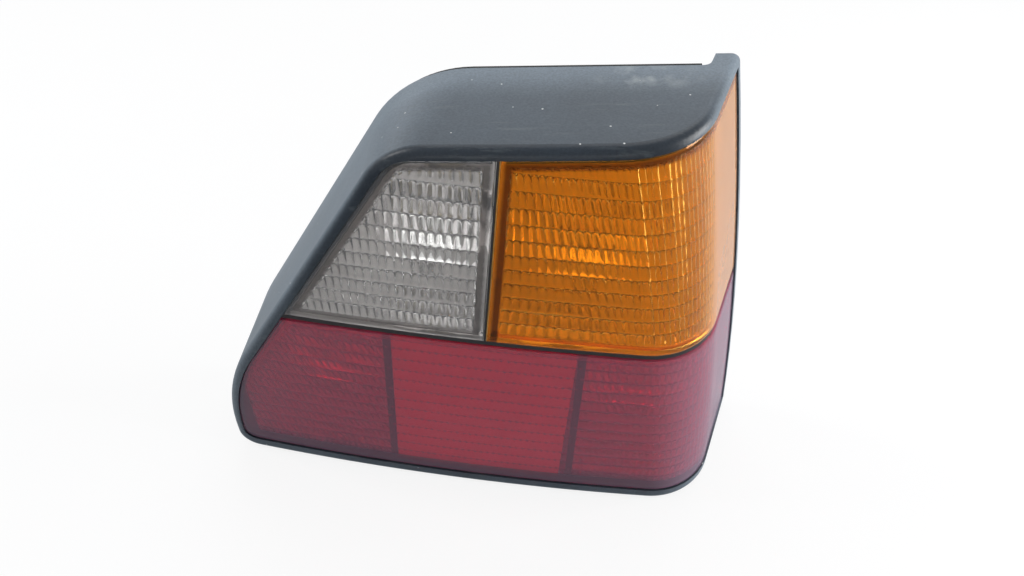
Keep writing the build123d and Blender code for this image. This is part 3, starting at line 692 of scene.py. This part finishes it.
FAN_RUN = 70.0
FAN_MIDDLE_Z = 160.0
NARROW_FROM = -11.0
NARROW_WIDE = 2.5
FAN_ROUNDS = 8
AMBER_ROW_POINTS = 90
AMBER_END_POINTS = 64
AMBER_LEFT_POINTS = 60


def set_upright(run, z):
    """How far a column is moved off the corner's lean: none at the corner, upright at the inboard end."""
    share = min(1.0, max(0.0, -run / FAN_RUN))
    return (crown_x(FAN_MIDDLE_Z) - crown_x(z)) * share * share * (3 - 2 * share)


def fan_run(u, z):
    """Run along the front of this column of the fan at this height."""
    run = u
    for _ in range(FAN_ROUNDS):
        run = u + set_upright(run, z)
    return run


def fan_column(run, z):
    """Column of the fan that passes through this run at this height."""
    return run - set_upright(run, z)


left_top = SLANT_TOP[1] + TOP_RISE * (amber_left - SLANT_TOP[0])
foot_runs = np.linspace(run_at(amber_left, upper_foot), run_end(upper_foot), AMBER_ROW_POINTS)
amber_edge = [(run, upper_foot) for run in foot_runs]
end_top = upper_foot
for _ in range(ROUNDS):
    end_top = top_at(run_end(end_top))
amber_edge += [(run_end(z), z) for z in np.linspace(upper_foot, end_top, AMBER_END_POINTS)[1:]]
top_runs = np.linspace(run_end(end_top), run_at(amber_left, left_top), AMBER_ROW_POINTS)
amber_edge += [(run, top_at(run)) for run in top_runs[1:]]
left_heights = np.linspace(left_top, upper_foot, AMBER_LEFT_POINTS)
amber_edge += [(run_at(amber_left, z), z) for z in left_heights[1:-1]]
amber_border = [Vector((fan_column(run, z), z)) for run, z in amber_edge]
amber_first = amber_border[0].x + PILLOW_MARGIN


def amber_pillows(u, z, depth):
    """Pillow height on the indicator lens; its columns are narrower round the corner."""
    across = (min(u, NARROW_FROM) - amber_first) / PILLOW_WIDE + max(0.0, u - NARROW_FROM) / NARROW_WIDE
    up = (z - pillow_row_z) / PILLOW_TALL
    return run_in(depth) * pillows(across, up, PILLOW_SAG_ACROSS, PILLOW_SAG_UP)


lens("indicator_lens_tray", amber_border, fan_run, amber_pillows, fine_steps,
     (amber_first, pillow_row_z), amber_acrylic, "amber_acrylic", "indicator_lens")


# Red lens: one lower tray for fog, reflex and stop lights, the same pillows inside, duller and cloudier
# than the upper two. Red acrylic, polished tool: deep red through, under a maroon haze of fine scratches.
red_edges = (((0, 1), (0, LENS_FOOT)), ((1, 0), (INBOARD_X, 0)))
# Its darker margin colour, #801c38, is painted shade, along the foot and the inboard edge
red_acrylic, _, shader, _ = worn_shaded_acrylic(
    "red_acrylic", 12, ("#c82446", "#d43658"), red_edges, 2 * PILLOW_MARGIN, "#801c38", (0.05, 0.14))
shader.inputs["Transmission Weight"].default_value = 0.9
shader.inputs["Sheen Weight"].default_value = 0.36
shader.inputs["Sheen Roughness"].default_value = 0.8
shader.inputs["Sheen Tint"].default_value = linear("#dcc4e4")

RED_SAG_ACROSS = 0.3
RED_SAG_UP = 0.5
RED_CELLS_ACROSS = 5
RED_CELLS_UP = 8
RED_ROW_POINTS = 160
RED_END_POINTS = 70
red_head = DIVIDER_Z - DIVIDER_GAP / 2
red_row_z = LENS_FOOT + PILLOW_MARGIN
lower_edge = [p for p in inboard_edge if p.y < red_head]
above = [p for p in inboard_edge if p.y >= red_head][0]
head_left = lower_edge[-1].lerp(above, (red_head - lower_edge[-1].y) / (above.y - lower_edge[-1].y))
foot_start = lower_edge[0]
foot_runs = np.linspace(run_at(foot_start.x, LENS_FOOT), run_end(LENS_FOOT), RED_ROW_POINTS)
red_edge = [(run, LENS_FOOT) for run in foot_runs]
red_edge += [(run_end(z), z) for z in np.linspace(LENS_FOOT, red_head, RED_END_POINTS)[1:]]
head_runs = np.linspace(run_end(red_head), run_at(head_left.x, red_head), RED_ROW_POINTS)
red_edge += [(run, red_head) for run in head_runs[1:]]
red_edge += [(run_at(p.x, p.y), p.y) for p in reversed(lower_edge[1:])]
red_border = [Vector(p) for p in red_edge]


def red_pillows(u, z, depth):
    """Pillow height on the red lens."""
    up = (z - red_row_z) / PILLOW_TALL
    return run_in(depth) * pillows(u / PILLOW_WIDE, up, RED_SAG_ACROSS, RED_SAG_UP)


red_steps = (PILLOW_WIDE / RED_CELLS_ACROSS, PILLOW_TALL / RED_CELLS_UP)
lens("red_lens_tray", red_border, lambda run, z: run, red_pillows, red_steps,
     (0.0, red_row_z), red_acrylic, "red_acrylic", "red_lens")


# Reflex reflector: a red acrylic plate between the two bars, ridged on its rear face.
# Acrylic, moulded: clear deep red with small uneven patches.
reflex_acrylic, _, shader, _ = mottled("reflex_acrylic", 6, 4.0, "#f03844", "#fa565e")
shader.inputs["Roughness"].default_value = 0.15
shader.inputs["IOR"].default_value = 1.49
shader.inputs["Transmission Weight"].default_value = 0.25
dress("reflex_reflector", reflex_acrylic)


# Bulbs: four clear glass bulbs with 15 mm bayonet bases, pushed and turned into the carrier's sockets.
# Blown soda glass: clear, a trace of wave in it.
bulb_glass, tree, shader, wave = mottled("bulb_glass", 7, 2.0, "#eef1f0", "#fbfcfc")
wavy = add(tree, "ShaderNodeBump", {"Height": wave, "Strength": 0.1, "Distance": 0.0005})
tree.links.new(wavy.outputs["Normal"], shader.inputs["Normal"])
shader.inputs["Roughness"].default_value = 0.02
shader.inputs["IOR"].default_value = 1.51
shader.inputs["Transmission Weight"].default_value = 1.0
# Nickelled brass cap: warm grey metal with dull handling marks
bulb_base_brass, tree, shader, marks = mottled("bulb_base_brass", 3, 4.0, "#a99f88", "#cfc7b2")
rub = add(tree, "ShaderNodeMapRange", {"Value": marks, "To Min": 0.22, "To Max": 0.45})
tree.links.new(rub.outputs["Result"], shader.inputs["Roughness"])
shader.inputs["Metallic"].default_value = 1.0
# Steel wire of the mount: grey, slightly oxidised
mount_steel, _, shader, _ = mottled("mount_steel", 2, 3.0, "#7c7b78", "#b3b2ae")
shader.inputs["Metallic"].default_value = 1.0
shader.inputs["Roughness"].default_value = 0.4
for light in ("reverse", "indicator", "fog", "stop_tail"):
    dress(light + "_bulb_glass", bulb_glass)
    dress(light + "_bulb_base", bulb_base_brass)
    dress(light + "_bulb_mount", mount_steel)


# Lamp carrier: a light grey nylon plate that holds the bulbs and the plug's shroud, hooked to the back.
# Glass-filled nylon, moulded: matt, with pale fibre flecks.
carrier_plastic, tree, shader, place = finish_named("carrier_plastic")
fibres = add(tree, "ShaderNodeTexNoise", {"Vector": place, "Scale": per_metre(1.2), "Detail": 3.0})
clouds = add(tree, "ShaderNodeTexNoise", {"Vector": place, "Scale": per_metre(25), "Detail": 4.0})
nylon = add(tree, "ShaderNodeMix", {
    0: clouds.outputs["Fac"], 6: linear("#b4b5b1"), 7: linear("#cdcec9")}, data_type="RGBA")
flecked = add(tree, "ShaderNodeMix", {
    0: 0.12, 6: nylon.outputs[2], 7: fibres.outputs["Fac"]}, data_type="RGBA", blend_type="OVERLAY")
rough = add(tree, "ShaderNodeBump", {
    "Height": fibres.outputs["Fac"], "Strength": 0.15, "Distance": 0.0003})
tree.links.new(flecked.outputs[2], shader.inputs["Base Color"])
tree.links.new(rough.outputs["Normal"], shader.inputs["Normal"])
shader.inputs["Roughness"].default_value = 0.55
dress("lamp_carrier", carrier_plastic)


# Carrier seal: a moulded rubber ring pressed between the carrier and the back wall.
# Rubber, moulded: dark grey, matt, with a faint bloom.
seal_rubber, _, shader, _ = mottled("seal_rubber", 5, 4.0, "#1d1d1e", "#38393a")
shader.inputs["Roughness"].default_value = 0.8
dress("carrier_seal", seal_rubber)


# Contact strips: flat brass stampings let into the carrier, from the plug's pins to the bulbs.
# Bare brass, rolled: yellow with brown tarnish.
strip_brass, tree, shader, tarnish = mottled("strip_brass", 8, 6.0, "#9a7a3a", "#d9bd74", roughness=0.65)
dulled = add(tree, "ShaderNodeMapRange", {"Value": tarnish, "To Min": 0.5, "To Max": 0.25})
tree.links.new(dulled.outputs["Result"], shader.inputs["Roughness"])
shader.inputs["Metallic"].default_value = 1.0
for strip in ("fog", "reverse", "earth", "indicator", "tail", "stop"):
    dress(strip + "_strip", strip_brass)


# Connector pins: six tinned brass blades that stand in the plug's shroud.
# Tin plate: pale grey metal, soft and slightly scratched.
pin_brass, _, shader, _ = mottled("pin_brass", 1.5, 4.0, "#b8b4a4", "#dcd9cd")
shader.inputs["Metallic"].default_value = 1.0
shader.inputs["Roughness"].default_value = 0.32
dress("connector_pins", pin_brass)


# Stage: a white table under a skylight, with windows to both sides and in front, and a bright room
# round it. The table and the room are white where they are seen, and give less light than they show.
FLOOR_SIZE = 4.0
TABLE_GLOW = 0.85
floor_mesh = bpy.data.meshes.new("floor")
half = FLOOR_SIZE / 2
corners = [(-half, -half, 0), (half, -half, 0), (half, half, 0), (-half, half, 0)]
floor_mesh.from_pydata(corners, [], [(0, 1, 2, 3)])
floor = bpy.data.objects.new("floor", floor_mesh)
bpy.context.scene.collection.objects.link(floor)
table_white, tree, shader, place = finish_named("table_white")
shade = add(tree, "ShaderNodeTexNoise", {"Vector": place, "Scale": per_metre(60), "Detail": 3.0})
rays = add(tree, "ShaderNodeLightPath").outputs
seen = add(tree, "ShaderNodeMath", {
    0: rays["Is Camera Ray"], 1: rays["Is Transmission Ray"]}, operation="MAXIMUM")
white = add(tree, "ShaderNodeMix", {
    0: shade.outputs["Fac"], 6: linear("#f6f7f8"), 7: linear("#fbfbfc")}, data_type="RGBA")
bounce = add(tree, "ShaderNodeMix", {
    0: seen.outputs[0], 6: linear("#a9abad"), 7: white.outputs[2]}, data_type="RGBA")
tree.links.new(bounce.outputs[2], shader.inputs["Base Color"])
shader.inputs["Roughness"].default_value = 0.7
share = add(tree, "ShaderNodeMath", {0: seen.outputs[0], 1: TABLE_GLOW}, operation="MULTIPLY")
glow = add(tree, "ShaderNodeEmission", {"Color": linear("#ffffff"), "Strength": 1.0})
both = add(tree, "ShaderNodeMixShader", {
    0: share.outputs[0], 1: shader.outputs["BSDF"], 2: glow.outputs["Emission"]})
tree.links.new(both.outputs["Shader"], tree.nodes["Material Output"].inputs["Surface"])
floor_mesh.materials.append(table_white)

world = bpy.data.worlds.new("room")
bpy.context.scene.world = world
world.use_nodes = True
tree = world.node_tree
room = tree.nodes["Background"]
room.inputs["Color"].default_value = linear("#f4f7fb")
room.inputs["Strength"].default_value = 0.25
rays = add(tree, "ShaderNodeLightPath").outputs
seen = add(tree, "ShaderNodeMath", {
    0: rays["Is Camera Ray"], 1: rays["Is Glossy Ray"]}, operation="MAXIMUM")
seen = add(tree, "ShaderNodeMath", {
    0: seen.outputs[0], 1: rays["Is Transmission Ray"]}, operation="MAXIMUM")
wall = add(tree, "ShaderNodeBackground", {"Color": linear("#ffffff"), "Strength": 1.0})
both = add(tree, "ShaderNodeMixShader", {
    0: seen.outputs[0], 1: room.outputs["Background"], 2: wall.outputs["Background"]})
tree.links.new(both.outputs["Shader"], tree.nodes["World Output"].inputs["Surface"])

# Name, place, width and height in metres, and power in watts
LIGHTS = (
    ("window_left", (-0.9, 0.05, 0.85), 0.35, 0.5, 5.0),
    ("window_right", (1.1, 0.05, 0.4), 0.6, 0.6, 12.0),
    ("window_front", (0.0, -1.4, 0.25), 1.0, 0.4, 3.2),
    ("skylight", (0.0, 0.9, 1.5), 1.6, 1.0, 11.0),
)
LIT_PLACE = Vector((0, 0, 0.1))
for name, at, wide, tall, power in LIGHTS:
    lamp = bpy.data.lights.new(name, "AREA")
    lamp.shape = "RECTANGLE"
    lamp.size = wide
    lamp.size_y = tall
    lamp.energy = power
    light = bpy.data.objects.new(name, lamp)
    bpy.context.scene.collection.objects.link(light)
    light.location = Vector(at)
    light.rotation_euler = (LIT_PLACE - light.location).to_track_quat("-Z", "Y").to_euler()


# Camera: above and in front, tilted down, with the picture rolled a little. Its place is in mm from
# the zero that the lenses are drawn from.
PICTURE_WIDE = 1024
SENSOR_WIDE = 36.0
PITCH = math.radians(46.0)
YAW = math.radians(1.5)
ROLL = math.radians(6.3)
FOCAL_PIXELS = 700.0
CAMERA_AT = Vector((6.7, -188.4, 348.1))
view = bpy.data.cameras.new("camera")
view.sensor_width = SENSOR_WIDE
view.lens = FOCAL_PIXELS / PICTURE_WIDE * SENSOR_WIDE
view.clip_start = 0.01
camera = bpy.data.objects.new("camera", view)
bpy.context.scene.collection.objects.link(camera)
level = Vector((math.sin(YAW), math.cos(YAW), 0))
right = Vector((math.cos(YAW), -math.sin(YAW), 0))
ahead = level * math.cos(PITCH) - Vector((0, 0, math.sin(PITCH)))
above_view = level * math.sin(PITCH) + Vector((0, 0, math.cos(PITCH)))
across_view = right * math.cos(ROLL) + above_view * math.sin(ROLL)
up_view = above_view * math.cos(ROLL) - right * math.sin(ROLL)
camera.matrix_world = Matrix.Translation((CAMERA_AT + to_row) * 0.001) @ Matrix(
    (across_view, up_view, -ahead)).transposed().to_4x4()
bpy.context.scene.camera = camera
bpy.context.scene.view_settings.view_transform = "Standard"
